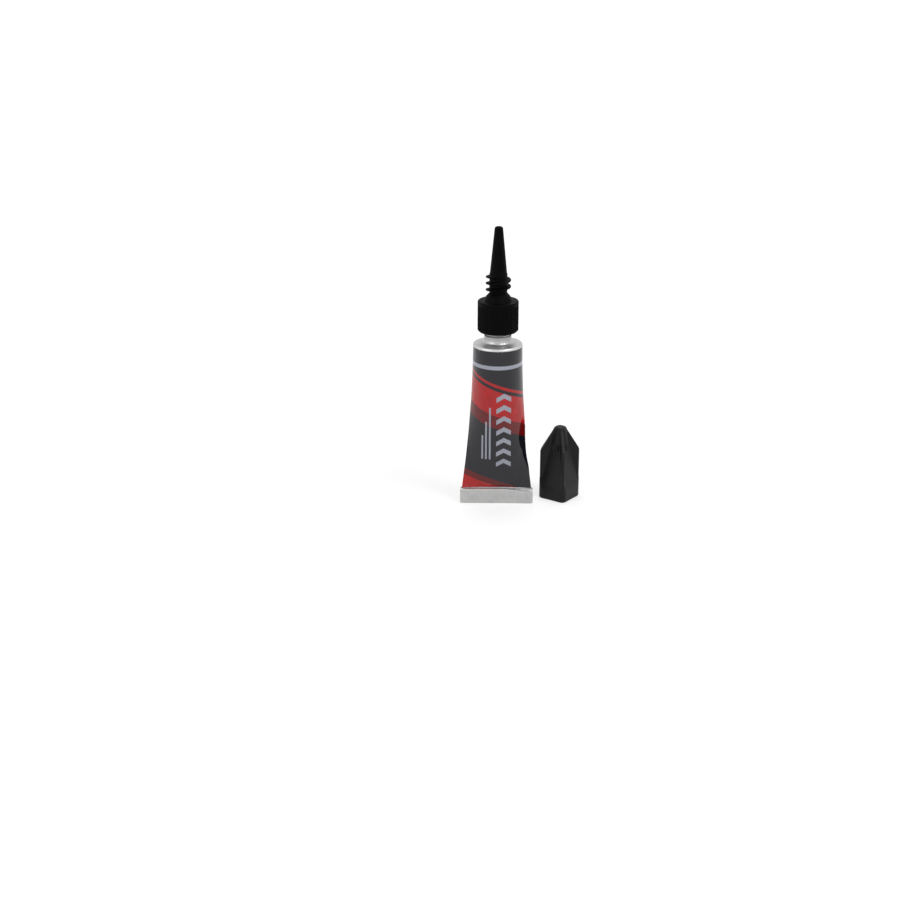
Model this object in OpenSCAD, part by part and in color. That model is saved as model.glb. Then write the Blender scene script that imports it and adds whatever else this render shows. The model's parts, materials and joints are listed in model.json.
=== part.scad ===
// Super glue tube: a folded aluminium tube with a screw-on nozzle, and its finned cap standing beside it.
// The foot of the tail's fold stands on z = 0, the tube's axis is +Z and the fold runs along X.

/* [Tube] */
// Outside diameter at the shoulder's rim
tube_d = 12.7; // [11:0.1:15]
// Wall of the sleeve
sleeve_wall = 0.15; // [0.1:0.01:0.2]
// Height of the shoulder's rim above the foot
rim_z = 43.2; // [36:0.05:60]
// How far the bare rim stands proud of the printed sleeve
rim_step = 0.04; // [0.02:0.01:0.1]
// Height of the rim's straight edge
rim_h = 0.2; // [0.2:0.05:0.6]
// Rounding of the shoulder's edge above the rim
rim_round = 0.6; // [0.3:0.05:1]
// Rise of the conical shoulder from the rim to the neck
shoulder_rise = 0.7; // [0.6:0.05:2.5]
// Wall of the shoulder
shoulder_wall = 0.7; // [0.4:0.05:1]

/* [Neck] */
// Diameter over the neck's thread
neck_d = 7; // [6.2:0.1:7.8]
// Height of the neck above the shoulder
neck_h = 8; // [5:0.05:10]
// Bore of the neck
neck_bore = 4.4; // [3:0.1:5]
// Pitch of the neck's thread
neck_pitch = 1.25; // [0.9:0.05:1.5]
// Depth of the neck's thread
neck_thread_depth = 0.4; // [0.2:0.05:0.5]
// Plain length of the neck below its thread
neck_plain = 1.85; // [0.8:0.05:2.5]
// Thickness of the membrane that closes the neck
membrane_t = 0.15; // [0.08:0.01:0.3]
// Width of the ledge that the membrane is bonded to
membrane_land = 0.3; // [0.15:0.05:0.5]

/* [Tail] */
// Width of the flattened tail
tail_w = 19; // [17:0.1:23]
// Height of the folded strip
fold_h = 4.2; // [3.2:0.1:6]
// How far the folded strip stands out past the sleeve on each side
tail_spread = 0.35; // [0:0.05:1]
// Gap between the plies of the fold
ply_gap = 0.06; // [0.03:0.01:0.12]
// Thickness of the sealing band between the tail's walls
seal_t = 0.1; // [0.06:0.01:0.2]
// Height of the sealing band
seal_h = 2.8; // [1.5:0.1:3]
// How late the sleeve spreads towards the tail: 1 is a straight flare
flare = 1.8; // [1:0.05:2.5]
// How late the sleeve thins towards the tail: 1 is a straight wedge
belly = 2.4; // [1.2:0.1:3]

/* [Adhesive] */
// Level of the liquid above the foot, with the tube standing on its tail
fill_z = 38.8; // [20:0.1:41]

/* [Nozzle] */
// Diameter of the collar over its ribs
collar_d = 10.4; // [9.5:0.05:12.5]
// How far the nozzle stands backed off from its home on the neck
backed_off = 1.8; // [0.4:0.1:3]
// Thickness of the collar's end wall
end_wall = 1; // [0.6:0.1:2]
// Gap left under the collar when the nozzle is screwed home
skirt_gap = 1.05; // [0.8:0.05:2]
// Number of ribs round the collar
rib_count = 42; // [24:1:48]
// Depth of the grooves between the ribs
rib_depth = 0.16; // [0.05:0.01:0.3]
// Plain rim above the ribs
plain_rim = 0.9; // [0.5:0.1:2]
// Diameter of the frustum where it stands on the collar
frustum_d = 7.1; // [6.9:0.02:8.6]
// Diameter of the frustum at its bend, where the steep flank turns into the slope
frustum_bend_d = 6.16; // [5.6:0.02:6.5]
// Height of the bend above the collar
frustum_bend_h = 1.1; // [0.6:0.05:1.4]
// Diameter of the frustum's top
frustum_top_d = 4.7; // [4.6:0.02:5.4]
// Height of the frustum
frustum_h = 1.9; // [1.6:0.05:3]
// Diameter of the stem under the cap thread
stem_d = 4.56; // [4.3:0.02:4.6]
// Height of the stem
stem_h = 5; // [4.8:0.1:8]
// Diameter over the cap thread
cap_thread_d = 6.4; // [6:0.02:6.5]
// Pitch of the cap thread
cap_thread_pitch = 1.65; // [1.3:0.01:1.7]
// Turns of the cap thread
cap_thread_turns = 2.55; // [1.5:0.05:2.6]
// Diameter of the cone at its foot
cone_d = 4.24; // [3.4:0.02:4.4]
// Diameter of the cone's tip
tip_d = 2.16; // [1.6:0.02:2.6]
// Height of the cone
cone_h = 12; // [8:0.05:16]
// Diameter of the outlet
outlet_d = 0.8; // [0.4:0.05:1]
// Diameter of the piercing spike at its root
spike_d = 2.8; // [2.2:0.1:3]

/* [Cap] */
// Width across the cap's flat sides
cap_w = 8.15; // [8:0.05:10]
// Rounding of the cap's corners at the mouth
corner_r = 1.3; // [0.6:0.1:2]
// Height of the straight band at the mouth
band_h = 3.4; // [3:0.1:5]
// Width across the leaning panels at their top
waist_w = 4.4; // [4.1:0.1:5]
// Height of the round crown above the panels
crown_h = 6.3; // [4:0.1:8]
// Diameter of the crown at its foot
crown_d = 5.46; // [5:0.02:6.4]
// Diameter of the crown's rounded end
crown_top_d = 3.28; // [2.9:0.02:3.8]
// Thickness of the corner fins
fin_t = 0.9; // [0.6:0.05:1.3]
// Height of the roof that the fins slope up to
roof_h = 6.5; // [5:0.1:9]
// Wall over the tip of the nozzle
cap_top_wall = 1.3; // [0.8:0.1:2.5]
// Gap between the tail's corner and the cap standing to the right of it
cap_gap = 1.8; // [0.5:0.1:40]
// Place of the cap behind the tube's middle plane
cap_y = 5.2; // [-30:0.1:30]
// Turn of the cap about its own axis
cap_turn = 10; // [0:1:89]

/* [Fits] */
// Clearance round the neck's thread in the collar
neck_clearance = 0.05; // [0.02:0.01:0.1]
// Clearance round the nozzle in the cap
cap_clearance = 0.12; // [0.06:0.01:0.2]
// Gap between the collar's end wall and the neck's mouth at home
home_gap = 0.05; // [0.02:0.01:0.2]
// Gap between the spike and the membrane as delivered
spike_gap = 0.35; // [0.1:0.05:0.6]
// Film between the liquid and the wall
film = 0.05; // [0.03:0.01:0.1]
// Clearance of the sealing band and the membrane in their seats
seat_fit = 0.01; // [0.005:0.005:0.03]

/* [Hidden] */
$fn = 96;
// Overshoot of a cut past the face that it opens
cut = 0.5;

// Sleeve: its rings have no point on the X axis, so that the flat tail ends in two square corners
ring_points = 56;
sleeve_rings = 16;
liquid_rings = 12;
sleeve_r = tube_d / 2 - rim_step;
// The sleeve's upper end is buried in the rim, and its lower end laps into the fold's back ply
sleeve_top_z = rim_z - rim_h / 2;
lap = 0.25;
// Inset that keeps the lap inside that ply's own walls
lap_inset = 0.03;
sheet_t = 2 * sleeve_wall + seal_t;
ply_step = sheet_t + ply_gap;
fold_t = 3 * sheet_t + 2 * ply_gap;
fold_round = 0.35;
seal_z = fold_h - seal_h;
// The liquid ends this far above the fold, where the walls come together
liquid_foot = 2;
seal_w = tail_w - 2 * tail_spread - 4 * sleeve_wall;

// Turns over which a thread fades into its core at each end
thread_fade = 0.2;

// Neck
shoulder_z = rim_z + shoulder_rise;
mouth_z = shoulder_z + neck_h;
neck_r = neck_d / 2;
neck_root_r = neck_r - neck_thread_depth;
// The fillet at the neck's root takes up most of its plain length
neck_fillet = 0.75 * neck_plain;
mouth_chamfer = 0.3;
plain_inset = 0.05;
neck_thread_start = 200;
// Foot and crest of the thread's ridge, as shares of the pitch
neck_ridge = 0.7;
neck_crest = 0.2;

// Nozzle
wall_z = mouth_z + home_gap + backed_off;
collar_z = shoulder_z + skirt_gap + backed_off;
collar_top_z = wall_z + end_wall;
collar_r = collar_d / 2;
collar_foot_chamfer = 0.45;
collar_top_chamfer = 0.25;
socket_r = neck_r + neck_clearance;
socket_chamfer = 0.3;
stem_z = collar_top_z + frustum_h;
cone_z = stem_z + stem_h;
tip_z = cone_z + cone_h;
tip_round = 0.4;
stem_groove = 0.12;
stem_groove_h = 0.3;
spike_z = mouth_z + spike_gap;
spike_wall = 0.2;
spike_tip_r = outlet_d / 2 + spike_wall;
spike_root_z = wall_z + cut;
channel_d = 2 * outlet_d;
outlet_h = 2;
cap_thread_lead = 0.48;
cap_thread_z = stem_z + cap_thread_lead;
cap_thread_start = 90;
cap_thread_ridge = 1.15;
cap_thread_crest = 0.22;

// Cap
mouth_r = cap_thread_d / 2 + cap_clearance;
// The cap seats on the frustum's steep flank
seat_share = (frustum_d / 2 - mouth_r) / (frustum_d / 2 - frustum_bend_d / 2);
seat_z = collar_top_z + frustum_bend_h * seat_share;
thread_top_z = cap_thread_z + cap_thread_pitch * (cap_thread_turns - thread_fade) + cap_thread_crest / 2;
thread_room_h = thread_top_z - seat_z;
taper_h = cone_z - seat_z;
cap_depth = tip_z - seat_z + cap_clearance;
cap_h = cap_depth + cap_top_wall;
crown_z = cap_h - crown_h;
roof_z = cap_h - roof_h;
corner_reach = (cap_w / 2 - corner_r) * sqrt(2) + corner_r;
panel_lean = atan((cap_w - waist_w) / 2 / (crown_z - band_h));
cap_x = tail_w / 2 + cap_gap + corner_reach;
dome_r = crown_top_d / 2;
dome_h = 0.8;
roof_slope = (roof_h - dome_h) / (corner_reach - dome_r);
flutes = 4;
flute_step = 17;
flute_r = 0.16;

// Points of an arc, for profiles
function arc(x, y, r, from, to, steps = 6) =
    [for (i = [0:steps]) let (a = from + (to - from) * i / steps) [x + r * cos(a), y + r * sin(a)]];

// Half width and half depth of the sleeve, from the rim (0) to the flat tail (1)
function half_width(t) = sleeve_r + (tail_w / 2 - tail_spread - sleeve_r) * pow(t, flare);
function half_depth(t) = sleeve_r * (1 - pow(t, belly));

// A sine turns into an even spread as the round section is pressed flat
function spread(a, t) =
    (1 - t) * cos(a) + t * (abs(a - 180) / 90 - 1) / (1 - 2 / ring_points);

// One ring of the sleeve, set in from the outside by an inset, with its own half thickness at the tail
function ring(t, z, inset, tail_half) =
    [for (i = [0:ring_points - 1])
        let (a = 360 * (i + 0.5) / ring_points, side = a < 180 ? 1 : -1)
        [(half_width(t) - inset) * spread(a, t),
         half_depth(t) * (1 - inset / sleeve_r) * sin(a) + side * tail_half * t + ply_step * pow(t, 3),
         z]];

// Share of the way down the sleeve at a height, and the height at a share
function share(z) = (sleeve_top_z - z) / (sleeve_top_z - fold_h);
function height(t) = sleeve_top_z - t * (sleeve_top_z - fold_h);

// Triangles between ring a and ring b, whose first points have these numbers
function band_faces(a, b) =
    [for (i = [0:ring_points - 1], k = [0, 1])
        let (j = (i + 1) % ring_points)
        k == 0 ? [a + i, b + j, b + i] : [a + i, a + j, b + j]];

// The rings of one skin, top to bottom, with the last one buried in the fold
function skin(inset, tail_half, lap_side) = concat(
    [for (k = [0:sleeve_rings]) let (t = k / sleeve_rings) ring(t, height(t), inset, tail_half)],
    [ring(1, fold_h - lap, inset + lap_side * lap_inset, tail_half - lap_side * lap_inset)]);

// Thin sleeve, open at both ends
module sleeve() {
    rings = concat(
        skin(0, sheet_t / 2, 1),
        [for (k = [sleeve_rings + 1:-1:0]) skin(sleeve_wall, seal_t / 2, -1)[k]]);
    count = len(rings);
    polyhedron(
        points = [for (r = rings, p = r) p],
        faces = [for (k = [0:count - 1], f = band_faces(k * ring_points, (k + 1) % count * ring_points)) f],
        convexity = 6);
}

// Tail folded twice: back ply down, front ply up, and the end tucked down between them
module fold() {
    difference() {
        translate([-tail_w / 2, 0, 0])
            rotate([90, 0, 90])
                linear_extrude(tail_w)
                    fold_section();
        translate([-seal_w / 2, ply_step - seal_t / 2, seal_z])
            cube([seal_w, seal_t, seal_h + cut]);
    }
}

module fold_section() {
    side = fold_t / 2;
    tuck = sheet_t / 2;
    difference() {
        polygon(concat(
            [[side, fold_h]],
            arc(-side + fold_round, fold_h - fold_round, fold_round, 90, 180),
            arc(-side + fold_round, fold_round, fold_round, 180, 270),
            arc(side - fold_round, fold_round, fold_round, 270, 360)));
        translate([tuck, sheet_t])
            square([ply_gap, fold_h]);
        translate([-tuck - ply_gap, sheet_t])
            square([ply_gap, fold_h - 2 * sheet_t]);
        translate([-tuck - ply_gap, sheet_t])
            square([sheet_t + 2 * ply_gap, ply_gap]);
    }
}

// Helical ridge that fades into its core at both ends
module thread(core_r, crest_r, pitch, turns, z, start, ridge_h, crest_h) {
    per_turn = 24;
    steps = round(turns * per_turn);
    fade = per_turn * thread_fade;
    sunk = 0.3;
    low = core_r - sunk / 2;
    points = [for (i = [0:steps])
        let (a = start + 360 * i / per_turn,
             mid = z + pitch * i / per_turn,
             r = low + (crest_r - low) * min(1, i / fade, (steps - i) / fade))
        each [for (p = [[core_r - sunk, -ridge_h / 2], [r, -crest_h / 2],
                        [r, crest_h / 2], [core_r - sunk, ridge_h / 2]])
            [p[0] * cos(a), p[0] * sin(a), mid + p[1]]]];
    sides = [for (i = [0:steps - 1], k = [0:3], half = [0, 1])
        let (a = 4 * i + k, b = 4 * i + (k + 1) % 4)
        half == 0 ? [a, b + 4, a + 4] : [a, b, b + 4]];
    last = 4 * steps;
    ends = [[2, 1, 0], [3, 2, 0], [last, last + 1, last + 2], [last, last + 2, last + 3]];
    polyhedron(points = points, faces = concat(sides, ends), convexity = 8);
}

// Rim, rounded edge, conical shoulder and neck, bored through, with the membrane's seat at the mouth
module shoulder() {
    outer = tube_d / 2;
    neck_foot_r = neck_r - plain_inset;
    inner = outer - shoulder_wall;
    bore = neck_bore / 2;
    seat = bore + membrane_land;
    rotate_extrude()
        polygon(concat(
            [[inner, rim_z - rim_h], [outer, rim_z - rim_h]],
            arc(outer - rim_round, sleeve_top_z, rim_round, 0, 75),
            arc(neck_foot_r + neck_fillet, shoulder_z + neck_fillet, neck_fillet, 240, 180),
            [[neck_foot_r, shoulder_z + neck_plain],
             [neck_root_r, shoulder_z + neck_plain + plain_inset],
             [neck_root_r, mouth_z - mouth_chamfer],
             [neck_root_r - mouth_chamfer / 2, mouth_z],
             [seat, mouth_z], [seat, mouth_z - membrane_t],
             [bore, mouth_z - membrane_t], [bore, shoulder_z - shoulder_wall]]));
}

module tube_shell() {
    ridge = neck_ridge * neck_pitch;
    thread_z = shoulder_z + neck_plain + ridge / 2;
    turns = (mouth_z - mouth_chamfer - ridge / 2 - thread_z) / neck_pitch;
    color("silver") {
        sleeve();
        fold();
        shoulder();
        thread(neck_root_r, neck_r, neck_pitch, turns, thread_z,
               neck_thread_start, ridge, neck_crest * neck_pitch);
    }
}

module neck_membrane() {
    color("lightgray")
        translate([0, 0, mouth_z - membrane_t])
            cylinder(h = membrane_t, r = neck_bore / 2 + membrane_land - seat_fit);
}

module end_seal() {
    color("beige")
        translate([-seal_w / 2 + seat_fit, ply_step - seal_t / 2 + seat_fit, seal_z + seat_fit])
            cube([seal_w - 2 * seat_fit, seal_t - 2 * seat_fit, seal_h - 2 * seat_fit]);
}

// Liquid: the space in the sleeve, a film's width clear of its wall
module adhesive() {
    tail_z = fold_h + liquid_foot;
    levels = [for (k = [0:liquid_rings]) fill_z + (tail_z - fill_z) * k / liquid_rings];
    rings = [for (z = levels) ring(share(z), z, sleeve_wall + film, seal_t / 4)];
    last = liquid_rings * ring_points;
    color("lightblue")
        polyhedron(
            points = [for (r = rings, p = r) p],
            faces = concat(
                [[for (i = [ring_points - 1:-1:0]) i]],
                [for (k = [0:liquid_rings - 1], f = band_faces(k * ring_points, (k + 1) * ring_points)) f],
                [[for (i = [0:ring_points - 1]) last + i]]),
            convexity = 4);
}

// Outside of the nozzle: collar, flat ring, frustum, grooved stem and cone
module nozzle_body() {
    stem_r = stem_d / 2;
    rotate_extrude()
        polygon(concat(
            [[0, collar_z], [collar_r - collar_foot_chamfer, collar_z],
             [collar_r, collar_z + collar_foot_chamfer],
             [collar_r, collar_top_z - collar_top_chamfer], [collar_r - collar_top_chamfer, collar_top_z],
             [frustum_d / 2, collar_top_z], [frustum_bend_d / 2, collar_top_z + frustum_bend_h],
             [frustum_top_d / 2, stem_z],
             [stem_r - stem_groove, stem_z], [stem_r - stem_groove, stem_z + stem_groove_h / 2],
             [stem_r, stem_z + stem_groove_h],
             [stem_r, cone_z], [cone_d / 2, cone_z + stem_r - cone_d / 2]],
            arc(tip_d / 2 - tip_round, tip_z - tip_round, tip_round, 0, 90),
            [[0, tip_z]]));
}

// Inside of the collar, with the spike left standing in it
module nozzle_socket() {
    difference() {
        rotate_extrude()
            polygon([[0, collar_z - cut], [socket_r + socket_chamfer, collar_z - cut],
                     [socket_r + socket_chamfer, collar_z], [socket_r, collar_z + socket_chamfer],
                     [socket_r, wall_z], [0, wall_z]]);
        translate([0, 0, spike_z])
            cylinder(h = spike_root_z - spike_z, r1 = spike_tip_r, r2 = spike_d / 2);
    }
}

// Channel from the spike to the outlet, widest at the foot of the stem
module nozzle_channel() {
    outlet_r = outlet_d / 2;
    rotate_extrude()
        polygon([[0, spike_z - cut], [outlet_r, spike_z - cut], [outlet_r, collar_top_z],
                 [channel_d / 2, stem_z], [outlet_r, tip_z - outlet_h],
                 [outlet_r, tip_z + cut], [0, tip_z + cut]]);
}

module collar_grooves() {
    groove_r = 0.3;
    groove_h = collar_top_z - plain_rim - collar_z;
    for (i = [0:rib_count - 1])
        rotate(360 * (i + 0.5) / rib_count)
            translate([collar_r + groove_r - rib_depth, 0, collar_z - cut])
                cylinder(h = groove_h + cut, r = groove_r, $fn = 24);
}

module nozzle() {
    color([0.07, 0.07, 0.07])
        difference() {
            union() {
                nozzle_body();
                thread(stem_d / 2, cap_thread_d / 2, cap_thread_pitch, cap_thread_turns, cap_thread_z,
                       cap_thread_start, cap_thread_ridge, cap_thread_crest);
            }
            nozzle_socket();
            nozzle_channel();
            collar_grooves();
        }
}

// Square with round corners
module rounded_square(w, r) {
    square([w - 2 * r, w], center = true);
    square([w, w - 2 * r], center = true);
    for (x = [-1, 1], y = [-1, 1])
        translate([x * (w / 2 - r), y * (w / 2 - r)])
            circle(r);
}

// Straight band at the mouth, and four panels that lean in above it
module cap_panels() {
    difference() {
        linear_extrude(crown_z)
            rounded_square(cap_w, corner_r);
        for (k = [0:3])
            rotate(90 * k)
                translate([-cap_w, cap_w / 2, band_h])
                    rotate([panel_lean, 0, 0])
                        cube([2 * cap_w, cap_w, 2 * crown_z]);
    }
}

// Fins on the corners, under one roof that slopes up to the dome
module cap_fins() {
    intersection() {
        linear_extrude(cap_h)
            for (a = [45, 135])
                rotate(a) {
                    square([2 * corner_reach - fin_t, fin_t], center = true);
                    for (x = [-1, 1])
                        translate([x * (corner_reach - fin_t / 2), 0])
                            circle(fin_t / 2);
                }
        rotate_extrude()
            polygon([[0, -cut], [corner_reach + cut, -cut],
                     [corner_reach + cut, roof_z - cut * roof_slope],
                     [dome_r, cap_h - dome_h], [0, cap_h - dome_h]]);
    }
}

// Round crown with a domed end and a few short flutes above each panel
module cap_crown() {
    foot_r = crown_d / 2;
    difference() {
        rotate_extrude()
            polygon(concat(
                [[0, crown_z], [foot_r, crown_z]],
                [for (a = [0:11.25:90]) [dome_r * cos(a), cap_h - dome_h + dome_h * sin(a)]]));
        for (k = [0:3], i = [0:flutes - 1])
            rotate(90 * k + flute_step * (i - (flutes - 1) / 2))
                translate([foot_r - flute_r / 2, 0, crown_z - cut])
                    cylinder(h = crown_h / 2, r = flute_r, $fn = 24);
    }
}

// Room for the nozzle: thread room at the mouth, then a taper to the tip
module cap_bore() {
    shelf_r = stem_d / 2 + cap_clearance;
    rotate_extrude()
        polygon([[0, -cut], [mouth_r, -cut], [mouth_r, thread_room_h],
                 [shelf_r, thread_room_h + mouth_r - shelf_r],
                 [cone_d / 2 + cap_clearance, taper_h + mouth_r - shelf_r],
                 [tip_d / 2 + cap_clearance, cap_depth], [0, cap_depth]]);
}

module cap() {
    color([0.16, 0.16, 0.17])
        translate([cap_x, cap_y, 0])
            rotate(cap_turn - 45)
                difference() {
                    union() {
                        cap_panels();
                        cap_fins();
                        cap_crown();
                    }
                    cap_bore();
                }
}

tube_shell();
neck_membrane();
end_seal();
adhesive();
nozzle();
cap();
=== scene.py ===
"""Looks of the super glue tube: printed aluminium, a black screw-on nozzle, and the cap beside it."""

import json
import math

import bmesh
import bpy
import numpy as np
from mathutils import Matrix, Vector


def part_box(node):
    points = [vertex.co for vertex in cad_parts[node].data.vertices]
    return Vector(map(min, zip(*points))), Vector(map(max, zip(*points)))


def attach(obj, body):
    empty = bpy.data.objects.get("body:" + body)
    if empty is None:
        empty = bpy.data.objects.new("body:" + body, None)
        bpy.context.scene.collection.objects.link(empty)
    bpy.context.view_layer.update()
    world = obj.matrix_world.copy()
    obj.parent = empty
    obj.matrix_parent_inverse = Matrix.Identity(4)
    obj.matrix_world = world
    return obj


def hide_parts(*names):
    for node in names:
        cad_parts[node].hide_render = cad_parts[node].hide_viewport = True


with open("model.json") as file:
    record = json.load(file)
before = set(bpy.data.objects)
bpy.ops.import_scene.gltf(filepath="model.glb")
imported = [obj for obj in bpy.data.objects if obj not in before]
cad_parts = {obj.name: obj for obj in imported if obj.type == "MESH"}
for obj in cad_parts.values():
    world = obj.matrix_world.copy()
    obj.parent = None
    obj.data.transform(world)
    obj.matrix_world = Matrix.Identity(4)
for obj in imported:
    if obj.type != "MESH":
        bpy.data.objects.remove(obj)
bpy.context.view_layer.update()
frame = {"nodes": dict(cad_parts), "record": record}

# Sizes read from the frame, in millimetres
MM = 0.001


def node_box(name):
    low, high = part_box(name)
    return np.array(low) / MM, np.array(high) / MM


tube_low, tube_high = node_box("tube_shell")
nozzle_low, nozzle_high = node_box("nozzle")
cap_high = node_box("cap")[1]
mounts = {mount["name"]: mount for mount in frame["record"]["mounts"]}
tail_w = tube_high[0] - tube_low[0]
tube_r = (tube_high[1] - tube_low[1]) / 2
mouth_z = tube_high[2]
collar_z = nozzle_low[2]
tip_z = nozzle_high[2]
collar_r = nozzle_high[0]
outlet_r = mounts["nozzle_outlet"]["dims"]["r_mm"]
outlet_h = mounts["nozzle_outlet"]["dims"]["length_mm"]
cap_h = cap_high[2]
cap_mouth_r = mounts["cap_socket"]["dims"]["r_mm"]
cap_room_h = mounts["cap_socket"]["dims"]["length_mm"]
cap_axis = np.array(mounts["cap_socket"]["pos_m"][:2]) / MM

# Tube sizes, in millimetres
rim_z = 43.2
rim_h = 0.2
rim_step = 0.04
rim_round = 0.6
sleeve_r = tube_r - rim_step
sleeve_top = rim_z - rim_h / 2
sleeve_wall = 0.15
shoulder_z = 43.9
shoulder_wall = 0.7
neck_r = 3.5
neck_foot_r = 3.45
neck_fillet = 1.4
neck_root = 3.1
neck_bore_r = 2.2
neck_plain = 1.85
neck_pitch = 1.25
membrane_t = 0.15
membrane_land = 0.3
fold_h = 4.2
tail_spread = 0.35
sheet_t = 0.4
ply_step = 0.46
fill_z = 38.8
film = 0.05

# Powers by which the sleeve widens and flattens towards its tail
flare = 1.8
belly = 2.4

# Nozzle sizes, in millimetres
collar_top = 54.75
wall_z = 53.75
foot_chamfer = 0.45
rib_count = 42
rib_depth = 0.16
plain_rim = 0.9
socket_r = 3.55
frustum_r = 3.55
frustum_bend_r = 3.08
frustum_bend_z = 55.85
frustum_top_r = 2.35
stem_z = 56.65
stem_r = 2.28
stem_groove = 0.12
cone_z = 61.65
cone_r = 2.12
tip_r = 1.08
spike_z = 52.25
cap_thread_r = 3.2
cap_thread_z = 57.13
cap_pitch = 1.65
cap_turns = 2.55

# Cap sizes, in millimetres, and angles as it stands
cap_w = 8.15
corner_r = 1.3
band_h = 3.4
waist_w = 4.4
crown_h = 6.3
crown_r = 2.73
dome_r = 1.64
dome_h = 0.8
fin_t = 0.9
roof_h = 6.5
flutes = 4
flute_depth = 0.22
flute_half = 0.16
flute_pitch = math.radians(17)
cap_top_wall = 1.3
bore_depth = cap_h - cap_top_wall
cap_turn = math.radians(-35)


# Curves and steps

def smoothstep(low, high, x):
    t = np.clip((x - low) / (high - low), 0, 1)
    return t * t * (3 - 2 * t)


def soft_max(a, b, blend):
    h = np.clip(blend - np.abs(a - b), 0, None) / blend
    return np.maximum(a, b) + h * h * blend / 4


def soft_min(a, b, blend):
    return -soft_max(-a, -b, blend)


def helix(angle, z, low, pitch, turns, start, foot, crest):
    """Height of a right-handed ridge at these angles: 1 on its crest, 0 beyond its foot, both half widths."""
    fade_turns = 0.2
    first = ((angle - start) / math.tau) % 1.0
    ridge = np.zeros_like(angle)
    for lap in range(int(turns) + 1):
        turn = first + lap
        strength = np.clip(np.minimum(turn, turns - turn) / fade_turns, 0, 1)
        away = np.abs(z - low - pitch * turn)
        ridge = np.maximum(ridge, strength * (1 - smoothstep(crest, foot, away)))
    return ridge


def outline(corners):
    """Points through corners (across, up, fillet), with each fillet drawn as a curve."""
    arc_steps = 6
    points = []
    for k, (across, up, fillet) in enumerate(corners):
        here = np.array([across, up])
        if fillet == 0:
            points.append(here)
            continue
        before = np.array(corners[k - 1][:2]) - here
        after = np.array(corners[(k + 1) % len(corners)][:2]) - here
        before_length = np.linalg.norm(before)
        after_length = np.linalg.norm(after)
        opening = math.acos(np.clip(before @ after / before_length / after_length, -1, 1))
        most = 0.49 * min(before_length, after_length)
        reach = min(fillet / math.tan(opening / 2), most)
        start = here + before / before_length * reach
        end = here + after / after_length * reach
        for s in np.linspace(0, 1, arc_steps + 1):
            points.append((1 - s) ** 2 * start + 2 * s * (1 - s) * here + s * s * end)
    return np.array(points)


def dense(path, step, low=-math.inf, high=math.inf):
    """The same path with points added on its stretches between two heights."""
    points = [path[0]]
    for a, b in zip(path[:-1], path[1:]):
        inside = min(a[1], b[1]) < high and max(a[1], b[1]) > low
        count = max(1, math.ceil(np.linalg.norm(b - a) / step)) if inside else 1
        points += [a + (b - a) * k / count for k in range(1, count + 1)]
    return np.array(points)


# Meshes

def mesh_piece(name, points, faces, sharp=40):
    """A smooth mesh from points in millimetres, with edges sharp above an angle in degrees."""
    same_place = 1e-7
    mesh = bpy.data.meshes.new(name)
    mesh.from_pydata((np.asarray(points) * MM).tolist(), [], faces)
    work = bmesh.new()
    work.from_mesh(mesh)
    bmesh.ops.remove_doubles(work, verts=work.verts, dist=same_place)
    bmesh.ops.recalc_face_normals(work, faces=work.faces)
    work.to_mesh(mesh)
    work.free()
    mesh.shade_smooth()
    mesh.set_sharp_from_angle(angle=math.radians(sharp))
    piece = bpy.data.objects.new(name, mesh)
    bpy.context.scene.collection.objects.link(piece)
    return piece


def loft_faces(rings, size, closed):
    last = rings if closed else rings - 1
    faces = []
    for k in range(last):
        here = k * size
        ahead = (k + 1) % rings * size
        for i in range(size):
            j = (i + 1) % size
            faces.append((here + i, here + j, ahead + j, ahead + i))
    return faces


def loft(name, rings, closed):
    """Skin over rings of points; a closed one runs from its last ring back to its first."""
    rings = np.asarray(rings)
    count, size = rings.shape[:2]
    return mesh_piece(name, rings.reshape(-1, 3), loft_faces(count, size, closed))


def turned(path, angle, shape):
    """Rings round the Z axis: shape gives a ring's radius from its path radius, height and angles."""
    rings = []
    for r, z in path:
        radius = shape(r, z, angle)
        rings.append(np.c_[radius * np.cos(angle), radius * np.sin(angle), np.full_like(angle, z)])
    return np.array(rings)


def round_angles(count):
    return np.arange(count) * math.tau / count


# Sleeve: a round tube pressed flat towards its tail, with the dents of handling

sleeve_points = 192
sleeve_rows = 120
girth = math.tau * sleeve_r
print_h = 50.0

# Each dent: across and up from the front's foot, half length, half width, slant in degrees, depth
dents = [
    (-3.2, 39.0, 2.6, 0.9, 25, 0.07),
    (4.4, 37.2, 3.4, 1.1, -35, 0.06),
    (-6.6, 31.0, 6.0, 1.2, -12, 0.06),
    (7.6, 15.0, 8.0, 0.7, 10, 0.10),
    (6.2, 25.0, 5.0, 1.6, 18, 0.05),
    (-1.0, 14.0, 4.5, 2.2, 40, 0.05),
    (-7.8, 12.0, 6.0, 0.8, -14, 0.07),
    (13.0, 33.0, 4.0, 1.4, 30, 0.07),
    (-14.5, 24.0, 6.0, 1.3, -20, 0.07),
    (18.0, 16.0, 5.0, 2.0, 10, 0.06),
    (-17.0, 38.0, 2.5, 1.0, 60, 0.06),
]

# Each ripple: depth, and radians to the millimetre across and up
ripples = [(0.012, 0.9, 0.35), (0.010, -0.4, 0.8)]


def dent_depth(across, z):
    """Depth of the dents and ripples, which fade out at the fold and at the rim."""
    depth = np.zeros_like(across)
    for mid, up, length, width, slant, deep in dents:
        c = math.cos(math.radians(slant))
        s = math.sin(math.radians(slant))
        side = (across - mid + girth / 2) % girth - girth / 2
        along = c * (z - up) + s * side
        off = c * side - s * (z - up)
        depth += deep * np.exp(-((along / length) ** 2) - (off / width) ** 2)
    for deep, turn_across, turn_up in ripples:
        depth += deep * np.sin(turn_across * across + turn_up * z)
    window = smoothstep(fold_h + 0.2, fold_h + 3, z) * (1 - smoothstep(rim_z - 2.0, rim_z - 0.5, z))
    return depth * window


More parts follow.
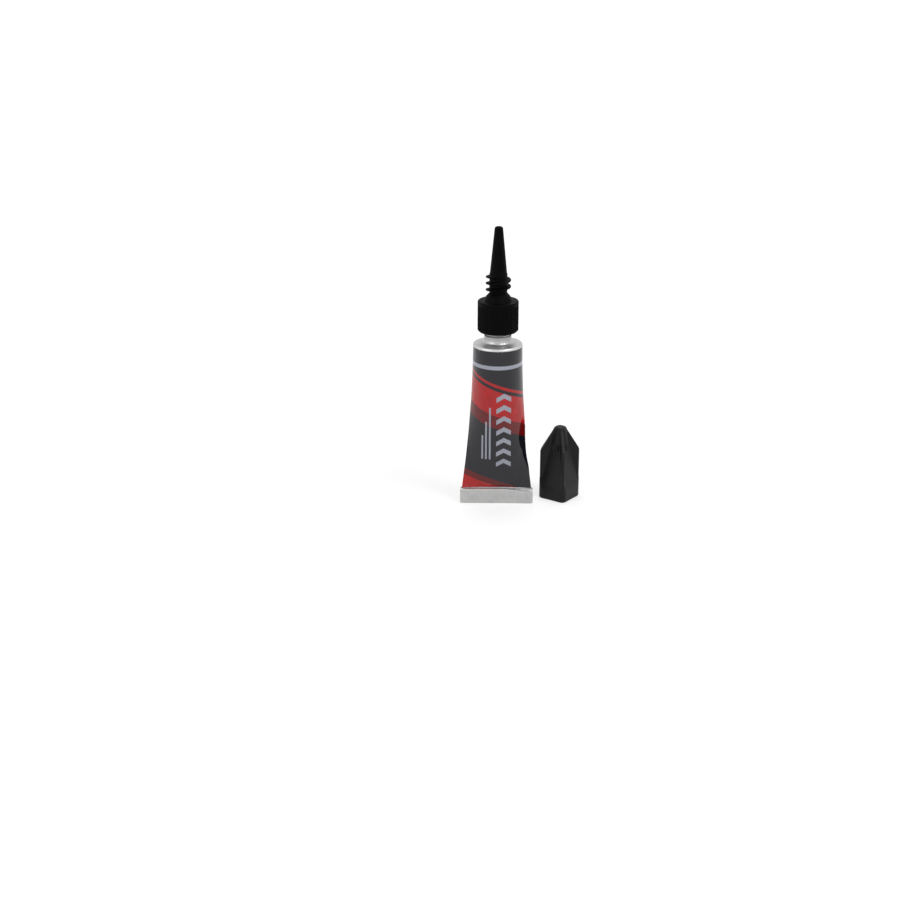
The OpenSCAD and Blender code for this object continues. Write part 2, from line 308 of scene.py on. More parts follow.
def press_side(x, y, z):
    """A flat that handling has pressed into the right of the front, where the lacquer mirrors the cap."""
    aim = math.radians(57)
    deepest = 0.55
    least = 1e-4
    crease = 0.15
    low, full_low, full_high, high = 7, 14, 17, 24
    depth = deepest * smoothstep(low, full_low, z) * (1 - smoothstep(full_high, high, z))
    if depth < least:
        return x, y
    out = x * math.sin(aim) - y * math.cos(aim)
    over = out - soft_min(out, out.max() - depth, crease * depth)
    return x - over * math.sin(aim), y + over * math.cos(aim)


def sleeve_ring(z, inset, tail_half):
    """One ring of the sleeve, from the middle of the back round the front to the back again."""
    steady = 0.3
    turn = (np.arange(sleeve_points) + 0.5) / sleeve_points
    angle = math.radians(90) + math.tau * turn
    t = np.clip((sleeve_top - z) / (sleeve_top - fold_h), 0, 1)
    half_w = sleeve_r + (tail_w / 2 - tail_spread - sleeve_r) * t**flare
    half_d = sleeve_r * (1 - t**belly)
    even = np.abs((angle % math.tau) - math.pi) / (math.pi / 2) - 1
    spread = (1 - t) * np.cos(angle) + t * even
    side = np.where(np.sin(angle) > 0, 1.0, -1.0)
    x = (half_w - inset) * spread
    y = half_d * (1 - inset / sleeve_r) * np.sin(angle)
    inward = -np.c_[x / half_w**2, y / (half_d + steady) ** 2]
    inward /= np.linalg.norm(inward, axis=1)[:, None]
    push = dent_depth((turn - 0.5) * girth, np.full_like(turn, z))
    x = x + inward[:, 0] * push
    y = y + inward[:, 1] * push + side * tail_half * t + ply_step * t**3
    x, y = press_side(x, y, z)
    return np.c_[x, y, np.full_like(x, z)]


def make_sleeve():
    tuck = 0.2
    cover = 0.002
    heights = sleeve_top + (fold_h - sleeve_top) * np.linspace(0, 1, sleeve_rows + 1)
    heights = np.append(heights, fold_h - tuck)
    outside = [sleeve_ring(z, 0, sheet_t / 2 + cover) for z in heights]
    inside = [sleeve_ring(z, sleeve_wall, sheet_t / 2 - sleeve_wall) for z in heights[::-1]]
    piece = loft("printed_sleeve", outside + inside, True)
    place_print(piece)
    return piece


def place_print(piece):
    """Print coordinates: across is the way round the tube from the middle of the front, up is the height."""
    mesh = piece.data
    layer = mesh.uv_layers.new(name="print")
    corner_vertex = np.zeros(len(mesh.loops), np.int32)
    mesh.loops.foreach_get("vertex_index", corner_vertex)
    places = np.zeros(len(mesh.vertices) * 3, np.float32)
    mesh.vertices.foreach_get("co", places)
    up = places.reshape(-1, 3)[:, 2] / (print_h * MM)
    column = corner_vertex % sleeve_points
    across = (column + 0.5) / sleeve_points
    face_columns = column.reshape(-1, 4)
    seam = (face_columns.max(1) == sleeve_points - 1) & (face_columns.min(1) == 0)
    wrapped = np.repeat(seam, 4) & (column == 0)
    across = np.where(wrapped, across + 1, across)
    layer.data.foreach_set("uv", np.c_[across, up[corner_vertex]].astype(np.float32).ravel())


def make_liquid():
    """The adhesive inside the sleeve, with a slight meniscus."""
    spare = 0.06
    low_z = fold_h + 2
    rows = 40
    meniscus = 0.25
    shares = (0.95, 0.8, 0.5, 0)
    inset = sleeve_wall + film + spare
    rings = [sleeve_ring(z, inset, sheet_t / 4) for z in np.linspace(low_z, fill_z, rows)]
    top = rings[-1].mean(0)
    bottom = np.broadcast_to(rings[0].mean(0), rings[0].shape)
    surface = [
        top + (rings[-1] - top) * share - [0, 0, meniscus * (1 - share**4)]
        for share in shares
    ]
    return loft("liquid_adhesive", [bottom] + rings + surface, False)


# Shoulder and neck

def make_shoulder():
    mouth_chamfer = 0.3
    mouth_draw = 0.15
    root_run = 0.15
    edge_turn = math.radians(75)
    thread_step = 0.09
    thread_start = math.radians(200)
    slack = 0.02
    margin = 0.35 * neck_pitch
    foot_half = 0.36 * neck_pitch
    crest_half = 0.1 * neck_pitch
    thread_low = shoulder_z + neck_plain + margin
    thread_turns = (mouth_z - mouth_chamfer - margin - thread_low) / neck_pitch
    inner = tube_r - shoulder_wall
    seat_r = neck_bore_r + membrane_land
    edge = [
        (tube_r - rim_round * (1 - math.cos(turn)), sleeve_top + rim_round * math.sin(turn), 0)
        for turn in np.linspace(0, edge_turn, 9)
    ]
    corners = [
        (inner, rim_z - rim_h, 0),
        (tube_r, rim_z - rim_h, 0.04),
        *edge,
        (neck_foot_r, shoulder_z, neck_fillet),
        (neck_foot_r, shoulder_z + neck_plain, 0.08),
        (neck_root, shoulder_z + neck_plain + root_run, 0.05),
        (neck_root, mouth_z - mouth_chamfer, 0.1),
        (neck_root - mouth_draw, mouth_z, 0.06),
        (seat_r, mouth_z, 0.03),
        (seat_r, mouth_z - membrane_t, 0),
        (neck_bore_r, mouth_z - membrane_t, 0.03),
        (neck_bore_r, shoulder_z - shoulder_wall, 0.3),
    ]
    path = dense(outline(corners), thread_step, shoulder_z + neck_plain, mouth_z)

    def shape(r, z, angle):
        ridge = helix(angle, z, thread_low, neck_pitch, thread_turns, thread_start, foot_half, crest_half)
        crest = neck_root + (neck_r - neck_root) * ridge
        on_root = r > neck_root - slack
        return np.maximum(r, crest) if on_root else np.full_like(angle, r)

    return loft("bare_shoulder", turned(path, round_angles(180), shape), True)


# Tail: the flattened sheet folded twice, as one ribbon

def corner_tuck(away, radius):
    """How far a round corner draws in at this distance from its edge."""
    inside = np.clip(radius - away, 0, radius)
    return radius - np.sqrt(radius**2 - inside**2)


def make_tail():
    half = sheet_t / 2
    bend = 0.22
    tucked_z = 0.55
    path_step = 0.4
    columns = 81
    foot_corner = 0.7
    top_corner = 0.25
    bow = 0.05
    gape = 0.10
    settle = 0.025
    fall_left = 0.02
    fall_right = 0.16
    corners = [
        (ply_step, fold_h, 0),
        (ply_step, half, bend),
        (-ply_step, half, bend),
        (-ply_step, fold_h - half, bend),
        (0, fold_h - half, bend),
        (0, tucked_z, 0),
    ]
    middle = dense(outline(corners), path_step)
    ahead = np.gradient(middle, axis=0)
    ahead /= np.linalg.norm(ahead, axis=1)[:, None]
    normal = np.c_[-ahead[:, 1], ahead[:, 0]]
    section = np.r_[middle + half * normal, (middle - half * normal)[::-1]]
    front = np.clip(0.5 - section[:, 0] / ply_step, 0, 1)
    rings = []
    # The front ply gapes at its right end, and its top edge falls away to both sides
    for share in np.linspace(-1, 1, columns):
        y, z = section.T.copy()
        height = z / fold_h
        lift = smoothstep(0.75, 1.0, share) * height**3
        y += bow * math.sin(2.6 * share + 0.4) * (1 - height) - gape * lift * front
        drop = fall_left * smoothstep(0.2, 1.0, -share) + fall_right * smoothstep(0.1, 1.05, share)
        z = z * (1 - (settle + drop) * front * height)
        x = share * (tail_w / 2 - corner_tuck(z, foot_corner) - corner_tuck(fold_h - z, top_corner))
        rings.append(np.c_[x, y, z])
    rings = np.array(rings)
    count, size = rings.shape[:2]
    half_count = size // 2
    faces = loft_faces(count, size, False)
    for ring in (0, count - 1):
        first = ring * size
        last = first + size - 1
        faces += [(first + i, first + i + 1, last - 1 - i, last - i) for i in range(half_count - 1)]
    return mesh_piece("folded_tail", rings.reshape(-1, 3), faces, sharp=50)


# Nozzle

def make_nozzle():
    groove_top = collar_top - plain_rim
    socket_chamfer = 0.3
    spike_root = 1.23
    spike_wall = 0.2
    tip_round = 0.6
    groove_h = 0.18
    groove_end = 0.34
    cone_step = 0.25
    rib_step = 0.3
    ridge_step = 0.085
    ridge_start = math.radians(90)
    ridge_foot = 0.58
    ridge_crest = 0.1
    ridge_blend = 0.12
    sunk_r = stem_r - 0.15
    socket_step = 0.16
    socket_low = collar_z + 0.9
    socket_turns = 3.6
    socket_start = 0.5
    socket_foot = 0.42
    socket_crest = 0.12
    socket_depth = 0.28
    tip = [
        (tip_r - tip_round * (1 - math.cos(turn)), tip_z - tip_round * (1 - math.sin(turn)), 0)
        for turn in np.linspace(0, math.pi / 2, 9)
    ]
    corners = [
        (socket_r + socket_chamfer, collar_z, 0.04),
        (collar_r - foot_chamfer, collar_z, 0.1),
        (collar_r, collar_z + foot_chamfer, 0.2),
        (collar_r, collar_top, 0.42),
        (frustum_r, collar_top, 0.12),
        (frustum_bend_r, frustum_bend_z, 0.5),
        (frustum_top_r, stem_z, 0.08),
        (stem_r - stem_groove, stem_z, 0.05),
        (stem_r - stem_groove, stem_z + groove_h, 0.05),
        (stem_r, stem_z + groove_end, 0.06),
        (stem_r, cone_z, 0.15),
        (cone_r, cone_z + cone_step, 0.25),
        *tip,
        (outlet_r, tip_z, 0.02),
        (outlet_r, tip_z - outlet_h, 0),
        (2 * outlet_r, stem_z, 0),
        (outlet_r, collar_top, 0),
        (outlet_r, spike_z, 0.03),
        (outlet_r + spike_wall, spike_z, 0.04),
        (spike_root, wall_z, 0.12),
        (socket_r, wall_z, 0.2),
        (socket_r, collar_z + socket_chamfer, 0.05),
    ]
    path = outline(corners)
    outer = int(np.argmax(path[:, 1]))
    stem = dense(path[:outer + 1], ridge_step, stem_z + groove_end, cone_z + 0.3)
    skirt = dense(stem, rib_step, collar_z, collar_top)
    inside = dense(path[outer:], socket_step, collar_z, wall_z)
    path = np.r_[skirt, inside[1:]]

    def shape(r, z, angle):
        groove = 0.5 + 0.5 * np.cos(rib_count * angle)
        run_out = 1 - smoothstep(groove_top - 0.25, groove_top + 0.05, z)
        ribbed = collar_r - rib_depth * (1 - (1 - groove) ** 2) * run_out
        if z <= collar_top and r > socket_r + 0.5:
            return np.minimum(r, ribbed)
        if stem_z + 0.3 < z < cone_z + 0.6 and r > 1.5:
            ridge = helix(
                angle, z, cap_thread_z, cap_pitch, cap_turns, ridge_start, ridge_foot, ridge_crest
            )
            crest = sunk_r + (cap_thread_r - sunk_r) * ridge
            return soft_max(np.full_like(angle, r), crest, ridge_blend)
        if abs(r - socket_r) < 1e-6 and collar_z + 0.5 < z < wall_z - 0.3:
            ridge = helix(
                angle, z, socket_low, neck_pitch, socket_turns, socket_start, socket_foot, socket_crest
            )
            return socket_r + socket_depth * ridge
        return np.full_like(angle, r)

    angle = round_angles(rib_count * 8)
    return loft("nozzle_moulding", turned(path, angle, shape), True)


# Cap: four leaning panels, a fin on each corner and a round crown

def cap_radius(angle, z):
    """Outside of the cap at these angles from its axis, with the fins at 45 degrees."""
    band_blend = 0.15
    corner_blend = 0.05
    roof_blend = 0.35
    fin_blend = 0.25
    crown_blend = 0.3
    flute_full = 0.9
    flute_end = 2.6
    crown_z = cap_h - crown_h
    from_panel = (angle + math.pi / 4) % (math.pi / 2) - math.pi / 4
    lean = (cap_w - waist_w) / 2 / (crown_z - band_h)
    half = cap_w / 2 - soft_max(np.float64(0), lean * (z - band_h), band_blend)
    flat = half / np.cos(from_panel)
    mid = (cap_w / 2 - corner_r) * math.sqrt(2)
    from_fin = (angle + math.pi / 2) % (math.pi / 2) - math.pi / 4
    reach = mid + corner_r
    corner_span = math.pi / 4 - math.atan((cap_w / 2 - corner_r) / (cap_w / 2))
    inside_corner = np.clip(corner_r**2 - (mid * np.sin(from_fin)) ** 2, 0, None)
    round_corner = mid * np.cos(from_fin) + np.sqrt(inside_corner)
    corner = np.where(np.abs(from_fin) < corner_span, round_corner, cap_w / 2 / np.cos(from_panel))
    body = soft_min(flat, corner, corner_blend)
    centre = reach - fin_t / 2
    half_fin = fin_t / 2
    aside = centre * np.sin(from_fin)
    side = half_fin / np.maximum(np.abs(np.sin(from_fin)), 1e-6)
    end = centre * np.cos(from_fin) + np.sqrt(np.clip(half_fin**2 - aside**2, 0, None))
    fin = np.where(np.abs(aside) < half_fin, end, side)
    slope = (reach - dome_r) / (roof_h - dome_h)
    roof = dome_r + slope * (cap_h - dome_h - z)
    fin = soft_min(fin, np.float64(max(roof, dome_r)), roof_blend)
    shape = soft_max(body, fin, fin_blend) if z < crown_z else fin
    if z > crown_z - 0.01:
        dome_z = cap_h - dome_h
        crown = crown_r + (dome_r - crown_r) * (z - crown_z) / (dome_z - crown_z)
        flute = flute_depth * (1 - smoothstep(crown_z + flute_full, crown_z + flute_end, z))
        for k in range(flutes):
            off = from_panel - flute_pitch * (k - (flutes - 1) / 2)
            crown = crown - flute * np.exp(-((off * crown_r / flute_half) ** 2))
        shape = soft_max(crown, fin, crown_blend)
        if z > dome_z:
            share = (z - dome_z) / dome_h
            shape = shape * math.sqrt(max(0.0, 1 - share * share))
    return shape


def make_cap():
    crowding = 0.7
    wall_step = 0.14
    foot_round = 0.35
    mouth_chamfer = 0.25
    bore_gap = 0.12
    dome_gap = 0.12
    ledge = 0.02
    slack = 0.02
    thread_step = 0.12
    thread_low = 1.0
    thread_turns = 2.2
    thread_start = 0.8
    thread_foot = 0.5
    thread_crest = 0.12
    thread_depth = 0.55
    spacing = round_angles(288)
    angle = math.pi / 4 + spacing - crowding / 4 * np.sin(4 * spacing)
    crown_z = cap_h - crown_h
    dome = cap_h - dome_h + dome_h * np.sin(np.linspace(math.pi / 2, 0, 14))
    walls = np.arange(cap_h - dome_h - dome_gap, foot_round, -wall_step)
    walls = np.sort(np.r_[walls, crown_z + ledge, crown_z - ledge])[::-1]
    rings = []
    for z in np.r_[dome, walls]:
        rings.append((cap_radius(angle, z), z))
    foot = cap_radius(angle, foot_round)
    for turn in np.linspace(0, math.pi / 2, 6):
        rings.append((foot - foot_round * (1 - math.cos(turn)), foot_round * (1 - math.sin(turn))))
    shelf = stem_r + bore_gap
    bore = outline([
        (cap_mouth_r + mouth_chamfer, 0, 0),
        (cap_mouth_r, mouth_chamfer, 0.05),
        (cap_mouth_r, cap_room_h, 0.1),
        (shelf, cap_room_h + cap_mouth_r - shelf, 0.1),
        (tip_r + bore_gap, bore_depth, 0.3),
        (0, bore_depth, 0),
    ])
    bore = dense(bore, thread_step, 0.2, cap_room_h)
    for r, z in bore:
        radius = np.full_like(angle, r)
        if abs(r - cap_mouth_r) < slack:
            ridge = helix(
                angle, z, thread_low, cap_pitch, thread_turns, thread_start, thread_foot, thread_crest
            )
            radius = radius - thread_depth * ridge
        rings.append((radius, np.full_like(angle, z)))
    points = []
    for radius, z in rings:
        points.append(np.c_[
            cap_axis[0] + radius * np.cos(angle + cap_turn),
            cap_axis[1] + radius * np.sin(angle + cap_turn),
            np.broadcast_to(z, angle.shape),
        ])
    return loft("cap_moulding", points, False)


# Materials

def linear(*rgb):
    """Linear colour of an sRGB colour given from 0 to 255."""
    parts = [c / 255 for c in rgb]
    return [c / 12.92 if c <= 0.04045 else ((c + 0.055) / 1.055) ** 2.4 for c in parts] + [1.0]


class Paint:
    """A material under construction: adds nodes and links what it is given."""

    def __init__(self, name):
        self.material = bpy.data.materials.new(name)
        self.material.use_nodes = True
        self.tree = self.material.node_tree
        self.shader = self.tree.nodes["Principled BSDF"]

    def add(self, kind, inputs=None, **settings):
        made = self.tree.nodes.new(kind)
        for key, value in settings.items():
            setattr(made, key, value)
        for key, value in (inputs or {}).items():
            self.put(made.inputs[key], value)
        return made

    def put(self, socket, value):
        if isinstance(value, bpy.types.NodeSocket):
            self.tree.links.new(value, socket)
        else:
            socket.default_value = value

    def set(self, **sockets):
        for key, value in sockets.items():
            self.put(self.shader.inputs[key.replace("_", " ")], value)

    def math(self, operation, a, b=0.0):
        return self.add("ShaderNodeMath", {0: a, 1: b}, operation=operation).outputs[0]

    def span(self, value, low, high, to_low=0.0, to_high=1.0):
        return self.add(
            "ShaderNodeMapRange",
            {"Value": value, "From Min": low, "From Max": high, "To Min": to_low, "To Max": to_high},
        ).outputs[0]

    def mix(self, share, a, b):
        made = self.add("ShaderNodeMix", data_type="RGBA")
        self.put(made.inputs[0], share)
        self.put(made.inputs[6], a)
        self.put(made.inputs[7], b)
        return made.outputs[2]

    def place(self, stretch=(1, 1, 1)):
        coordinates = self.add("ShaderNodeTexCoord").outputs["Object"]
        return self.add("ShaderNodeMapping", {"Vector": coordinates, "Scale": stretch}).outputs[0]

    def noise(self, size_mm, detail=3.0, stretch=(1, 1, 1), rough=0.55):
        scale = 1 / (size_mm * MM)
        return self.add(
            "ShaderNodeTexNoise",
            {"Vector": self.place(stretch), "Scale": scale, "Detail": detail, "Roughness": rough},
        ).outputs[0]

    def bump(self, height, depth_mm, below=None):
        made = self.add("ShaderNodeBump", {"Height": height, "Distance": depth_mm * MM, "Strength": 1.0})
        if below is not None:
            self.put(made.inputs["Normal"], below)
        return made.outputs[0]


# Colours of the print, and half the width of its soft edges in millimetres
charcoal = linear(22, 20, 31)
red = linear(203, 12, 17)
dark_red = linear(120, 4, 9)
pale = linear(176, 179, 193)
print_edge = 0.04

# Layout of the print, in millimetres: across from the middle of the front, up from the foot
sash_fall = 0.35
ring_foot = 38.2
ring_top = 39.2
chevron_mid = 1.9
chevron_foot = 11.5
chevron_count = 7
bar_foot = 13.0
bar_w = 0.5
bars = [(-2.0, 15.0), (-3.1, 11.0), (-4.2, 7.0)]


def bar(paint, across, up, mid, height):
    """Mask of an upright bar with round ends."""
    end = bar_w / 2
    side = paint.math("SUBTRACT", across, mid)
    rise = paint.math("ABSOLUTE", paint.math("SUBTRACT", up, bar_foot + height / 2))
    rise = paint.math("MAXIMUM", paint.math("SUBTRACT", rise, height / 2 - end), 0.0)
    away = paint.math("ADD", paint.math("MULTIPLY", side, side), paint.math("MULTIPLY", rise, rise))
    return paint.span(paint.math("SQRT", away), end + print_edge, end - print_edge)


def between(paint, value, low, high):
    """Mask of the values from low to high."""
    above = paint.span(value, low - print_edge, low + print_edge)
    below = paint.span(value, high + print_edge, high - print_edge)
    return paint.math("MULTIPLY", above, below)


def chevrons(paint, across, up):
    """Mask of a column of chevrons that point up."""
    step = 3.1
    gap = 0.5
    arm = 1.3
    half = 2.1
    fall = 0.55
    side = paint.math("ABSOLUTE", paint.math("SUBTRACT", across, chevron_mid))
    rise = paint.math("SUBTRACT", paint.math("ADD", up, paint.math("MULTIPLY", side, fall)), chevron_foot)
    row = paint.math("FLOORED_MODULO", rise, step)
    column = between(paint, rise, 0, chevron_count * step)
    marks = paint.math("MULTIPLY", between(paint, row, gap, gap + arm), column)
    return paint.math("MULTIPLY", marks, paint.span(side, half + print_edge, half - print_edge))


def shade(colour, factor):
    return [c * factor for c in colour[:3]] + [1.0]


def lacquer_print():
    """Dark lacquer with plain red sashes that fall to the right, pale chevrons, bars and a ring."""
    paint = Paint("lacquer_print")
    layer = paint.add("ShaderNodeUVMap", uv_map="print").outputs[0]
    parts = paint.add("ShaderNodeSeparateXYZ", {0: layer}).outputs
    across = paint.math("MULTIPLY", paint.math("SUBTRACT", parts[0], 0.5), girth)
    up = paint.math("MULTIPLY", parts[1], print_h)
    swing = paint.math("PINGPONG", paint.math("ADD", across, girth / 4), girth / 2)
    slide = paint.math("MULTIPLY", paint.math("SUBTRACT", swing, girth / 4), sash_fall)
    slant = paint.math("ADD", up, slide)
    mottle = paint.noise(1.6, 4.0)
    fine = paint.noise(0.12, 2.0)
    grain = paint.math("ADD", paint.math("MULTIPLY", mottle, 0.7), paint.math("MULTIPLY", fine, 0.3))
    tone = paint.span(grain, 0.36, 0.64)
    warm = paint.mix(tone, shade(red, 0.74), red)
    deep = paint.mix(tone, shade(dark_red, 0.7), dark_red)
    colour = paint.mix(tone, shade(charcoal, 0.92), charcoal)
    for low, high, tint in (
        (33.4, 34.2, warm),
        (25.5, 32.5, warm),
        (22.0, 25.5, deep),
        (4.6, 6.4, deep),
        (-3.0, 4.6, warm),
    ):
        colour = paint.mix(between(paint, slant, low, high), colour, tint)
    light = paint.mix(paint.span(fine, 0.3, 0.7), shade(pale, 0.93), pale)
    colour = paint.mix(chevrons(paint, across, up), colour, light)
    colour = paint.mix(between(paint, up, ring_foot, ring_top), colour, light)
    for mid, height in bars:
        colour = paint.mix(bar(paint, across, up, mid, height), colour, light)
    scuff = paint.noise(0.5, 5.0, (1, 1, 0.25), 0.7)
    top_end = paint.span(up, rim_z - 1.2, rim_z)
    ends = paint.math("MAXIMUM", top_end, paint.span(up, fold_h + 1.6, fold_h + 0.2))
    worn = paint.math("MULTIPLY", paint.span(scuff, 0.62, 0.68), paint.math("MULTIPLY", ends, 0.8))
    arch = paint.math("ADD", up, paint.math("MULTIPLY", paint.math("MULTIPLY", across, across), 0.003))
    bare = paint.math("MAXIMUM", worn, paint.span(arch, fold_h + 0.17, fold_h + 0.11))
    colour = paint.mix(bare, colour, linear(222, 222, 223))
    wave = paint.noise(2.4, 2.0)
    gloss = paint.span(wave, 0.3, 0.7, 0.12, 0.20)
    peel = paint.bump(paint.noise(0.25, 2.0), 0.002)
    paint.set(
        Base_Color=colour,
        Metallic=bare,
        Roughness=paint.math("MAXIMUM", gloss, paint.math("MULTIPLY", bare, 0.65)),
        Normal=paint.bump(wave, 0.012, peel),
        Specular_IOR_Level=0.46,
    )
    return paint.material


def bare_aluminium():
    """Turned aluminium: fine rings round the axis, a soft satin and small marks, with painted shade on the
    neck and a painted highlight at the rim.
    """
    paint = Paint("bare_aluminium")
    rings = paint.noise(0.09, 3.0, (0.06, 0.06, 1.0))
    spots = paint.noise(0.35, 4.0)
    tone = paint.span(paint.noise(1.8, 3.0), 0.3, 0.7)
    satin = paint.mix(tone, linear(174, 174, 174), linear(190, 190, 190))
    height = paint.add("ShaderNodeSeparateXYZ", {0: paint.place()}).outputs[2]
    # The neck above the shoulder gets a darker base colour: painted shade under the nozzle's collar.
    painted_neck_shade = paint.span(height, (shoulder_z + 0.8) * MM, (shoulder_z + 1.4) * MM, 0.0, 0.8)
    # Below the rim's top the base colour turns lighter: a painted highlight along the rim.
    painted_rim_highlight = paint.span(height, (rim_z + 0.5) * MM, (rim_z + 0.2) * MM, 0.0, 0.5)
    colour = paint.mix(painted_neck_shade, satin, linear(156, 156, 156))
    paint.set(
        Base_Color=paint.mix(painted_rim_highlight, colour, linear(212, 212, 212)),
        Metallic=1.0,
        Roughness=paint.span(spots, 0.3, 0.7, 0.36, 0.50),
        Normal=paint.bump(rings, 0.004, paint.bump(spots, 0.008)),
    )
    return paint.material


def tail_aluminium():
    """Pressed aluminium of the fold: matt, with faint upright press lines."""
    paint = Paint("tail_aluminium")
    lines = paint.noise(0.16, 3.0, (1.0, 1.0, 0.05))
    cloud = paint.noise(1.5, 4.0)
    scratch = paint.noise(0.10, 3.0, (0.08, 1.0, 1.0))
    paint.set(
        Base_Color=paint.mix(paint.span(cloud, 0.3, 0.7), linear(174, 174, 174), linear(188, 188, 187)),
        Metallic=1.0,
        Roughness=paint.span(cloud, 0.3, 0.7, 0.42, 0.56),
        Normal=paint.bump(lines, 0.008, paint.bump(scratch, 0.004)),
    )
    return paint.material


def black_plastic(name, dark, lightest, rough, specular):
    """Satin moulded plastic: fine grain, faint flow clouds and a few dust specks."""
    paint = Paint(name)
    grain = paint.noise(0.09, 3.0)
    cloud = paint.noise(2.2, 3.0)
    dust = paint.span(paint.noise(0.22, 1.0), 0.79, 0.82)
    colour = paint.mix(paint.span(cloud, 0.3, 0.7), dark, lightest)
    paint.set(
        Base_Color=paint.mix(paint.math("MULTIPLY", dust, 0.5), colour, linear(88, 86, 84)),
        Roughness=paint.span(cloud, 0.3, 0.7, rough, rough + 0.1),
        Normal=paint.bump(grain, 0.006, paint.bump(cloud, 0.02)),
        Specular_IOR_Level=specular,
    )
    return paint.material


def seal_foil():
    """Crinkled foil over the neck's mouth."""
    paint = Paint("seal_foil")
    crinkle = paint.noise(0.6, 4.0)
    paint.set(
        Base_Color=paint.mix(paint.span(crinkle, 0.3, 0.7), linear(210, 210, 214), linear(228, 228, 230)),
        Metallic=1.0,
        Roughness=0.25,
        Normal=paint.bump(crinkle, 0.04),
    )
    return paint.material


def latex_band():
    """Cream latex with a lumpy face."""
    paint = Paint("latex_band")
    lumps = paint.noise(0.5, 3.0)
    paint.set(
        Base_Color=paint.mix(lumps, linear(214, 200, 165), linear(228, 217, 188)),
        Roughness=0.6,
        Normal=paint.bump(lumps, 0.03),
    )
    return paint.material


def clear_liquid():
    """Clear adhesive with faint drifts."""
    paint = Paint("clear_liquid")
    drift = paint.noise(4.0, 2.0)
    paint.set(
        Base_Color=paint.mix(drift, linear(236, 240, 244), linear(246, 248, 250)),
        Roughness=0.02,
        IOR=1.45,
        Transmission_Weight=1.0,
        Normal=paint.bump(drift, 0.01),
    )
    return paint.material


# Pieces on their bodies

def dress(piece, body, node, material):
    piece.data.materials.append(material)
    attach(piece, body)
    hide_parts(node)


dress(make_sleeve(), "tube", "tube_shell", lacquer_print())
dress(make_shoulder(), "tube", "tube_shell", bare_aluminium())
dress(make_tail(), "tube", "tube_shell", tail_aluminium())
dress(make_liquid(), "tube", "adhesive", clear_liquid())
nozzle_plastic = black_plastic("nozzle_plastic", linear(2, 2, 3), linear(6, 6, 7), 0.48, 0.045)
dress(make_nozzle(), "nozzle", "nozzle", nozzle_plastic)
cap_plastic = black_plastic("cap_plastic", linear(15, 15, 16), linear(21, 21, 22), 0.36, 0.2)
dress(make_cap(), "cap", "cap", cap_plastic)

for name, material in (("neck_membrane", seal_foil()), ("end_seal", latex_band())):
    mesh = frame["nodes"][name].data
    mesh.materials.clear()
    mesh.materials.append(material)


# Stage: pale floor, soft light and a white surround

def show_white(tree, seen, unseen):
    """One level for rays from the camera, a mirror or glass, and another for the rest."""
    path = tree.nodes.new("ShaderNodeLightPath")
    most = path.outputs["Is Camera Ray"]
    for name in ("Is Glossy Ray", "Is Transmission Ray"):
        pick = tree.nodes.new("ShaderNodeMath")
        pick.operation = "MAXIMUM"
        tree.links.new(most, pick.inputs[0])
        tree.links.new(path.outputs[name], pick.inputs[1])
        most = pick.outputs[0]
    level = tree.nodes.new("ShaderNodeMapRange")
    level.inputs["To Min"].default_value = unseen
    level.inputs["To Max"].default_value = seen
    tree.links.new(most, level.inputs["Value"])
    return level.outputs[0]


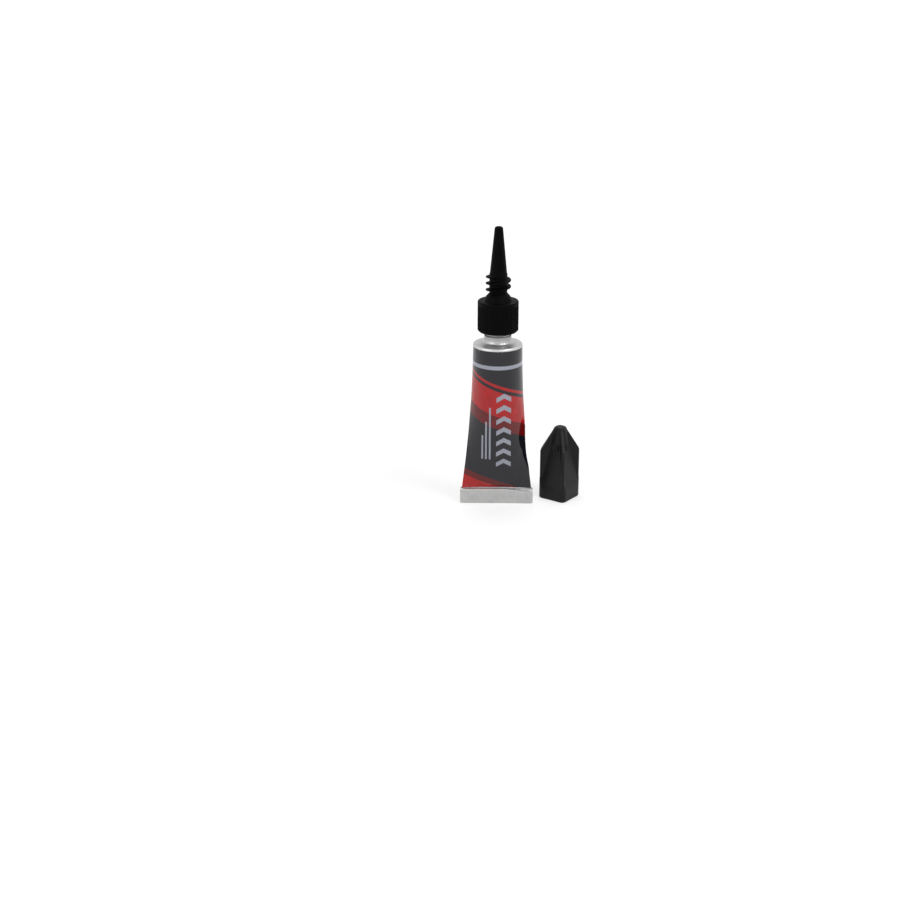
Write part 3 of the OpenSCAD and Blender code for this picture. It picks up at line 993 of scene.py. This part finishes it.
def make_floor():
    """Grey paper that glows white where the camera or a mirror sees it, most where it is far off."""
    size = 4.0
    grey = 0.45
    near, far = 0.05, 1.0
    near_glow, far_glow = 0.60, 0.81
    mesh = bpy.data.meshes.new("floor")
    corners = [(-size, -size, 0), (size, -size, 0), (size, size, 0), (-size, size, 0)]
    mesh.from_pydata(corners, [], [(0, 1, 2, 3)])
    floor = bpy.data.objects.new("floor", mesh)
    bpy.context.scene.collection.objects.link(floor)
    material = bpy.data.materials.new("floor_paper")
    material.use_nodes = True
    tree = material.node_tree
    shader = tree.nodes["Principled BSDF"]
    shader.inputs["Base Color"].default_value = (grey, grey, grey, 1)
    shader.inputs["Roughness"].default_value = 1.0
    shader.inputs["Specular IOR Level"].default_value = 0.0
    shader.inputs["Emission Color"].default_value = (1, 1, 1, 1)
    place = tree.nodes.new("ShaderNodeNewGeometry").outputs["Position"]
    away = tree.nodes.new("ShaderNodeVectorMath")
    away.operation = "LENGTH"
    tree.links.new(place, away.inputs[0])
    level = tree.nodes.new("ShaderNodeMapRange")
    level.inputs["From Min"].default_value = near
    level.inputs["From Max"].default_value = far
    level.inputs["To Min"].default_value = near_glow
    level.inputs["To Max"].default_value = far_glow
    tree.links.new(away.outputs["Value"], level.inputs["Value"])
    glow = tree.nodes.new("ShaderNodeMath")
    glow.operation = "MULTIPLY"
    tree.links.new(show_white(tree, 1.0, 0.0), glow.inputs[0])
    tree.links.new(level.outputs[0], glow.inputs[1])
    tree.links.new(glow.outputs[0], shader.inputs["Emission Strength"])
    mesh.materials.append(material)


def make_world():
    world = bpy.data.worlds.new("studio")
    bpy.context.scene.world = world
    world.use_nodes = True
    background = world.node_tree.nodes["Background"]
    background.inputs["Color"].default_value = (1, 1, 1, 1)
    world.node_tree.links.new(show_white(world.node_tree, 1.0, 0.5), background.inputs["Strength"])


def make_light(name, place, target, size, power):
    data = bpy.data.lights.new(name, "AREA")
    data.shape = "DISK"
    data.size = size
    data.energy = power
    light = bpy.data.objects.new(name, data)
    light.location = place
    light.rotation_euler = (Vector(target) - Vector(place)).to_track_quat("-Z", "Y").to_euler()
    bpy.context.scene.collection.objects.link(light)


def make_camera():
    """Camera of the photograph: the tube's axis and foot fall on their pixels of the 901 pixel frame."""
    frame_px = 901
    focal_px = 1760
    axis_px = 496.3
    foot_px = 502.6
    sensor_w = 36
    distance = 450 * MM
    elevation = math.radians(17.08)
    aim_z = 37 * MM
    back = distance * math.cos(elevation)
    height = aim_z + distance * math.sin(elevation)
    below = math.atan((foot_px - frame_px / 2) / focal_px)
    aside = (axis_px - frame_px / 2) / focal_px * math.cos(below)
    yaw = math.asin(aside * math.hypot(back, height) / back / math.sqrt(1 + aside**2))
    pitch = math.atan2(height, back * math.cos(yaw)) - below
    data = bpy.data.cameras.new("camera")
    data.sensor_fit = "HORIZONTAL"
    data.sensor_width = sensor_w
    data.lens = sensor_w * focal_px / frame_px
    data.clip_start = 0.01
    data.clip_end = 20
    camera = bpy.data.objects.new("camera", data)
    camera.location = (0, -back, height)
    camera.rotation_euler = (math.pi / 2 - pitch, 0, yaw)
    bpy.context.scene.collection.objects.link(camera)
    bpy.context.scene.camera = camera


make_floor()
make_world()
aim = (0.004, 0, 0.035)
make_light("key", (0.45, -0.35, 0.60), aim, 0.40, 2.2)
make_light("fill", (-0.55, -0.40, 0.35), aim, 0.45, 1.2)
make_light("top", (0.0, 0.25, 0.75), aim, 0.50, 1.5)
make_camera()
bpy.context.scene.view_settings.view_transform = "Standard"
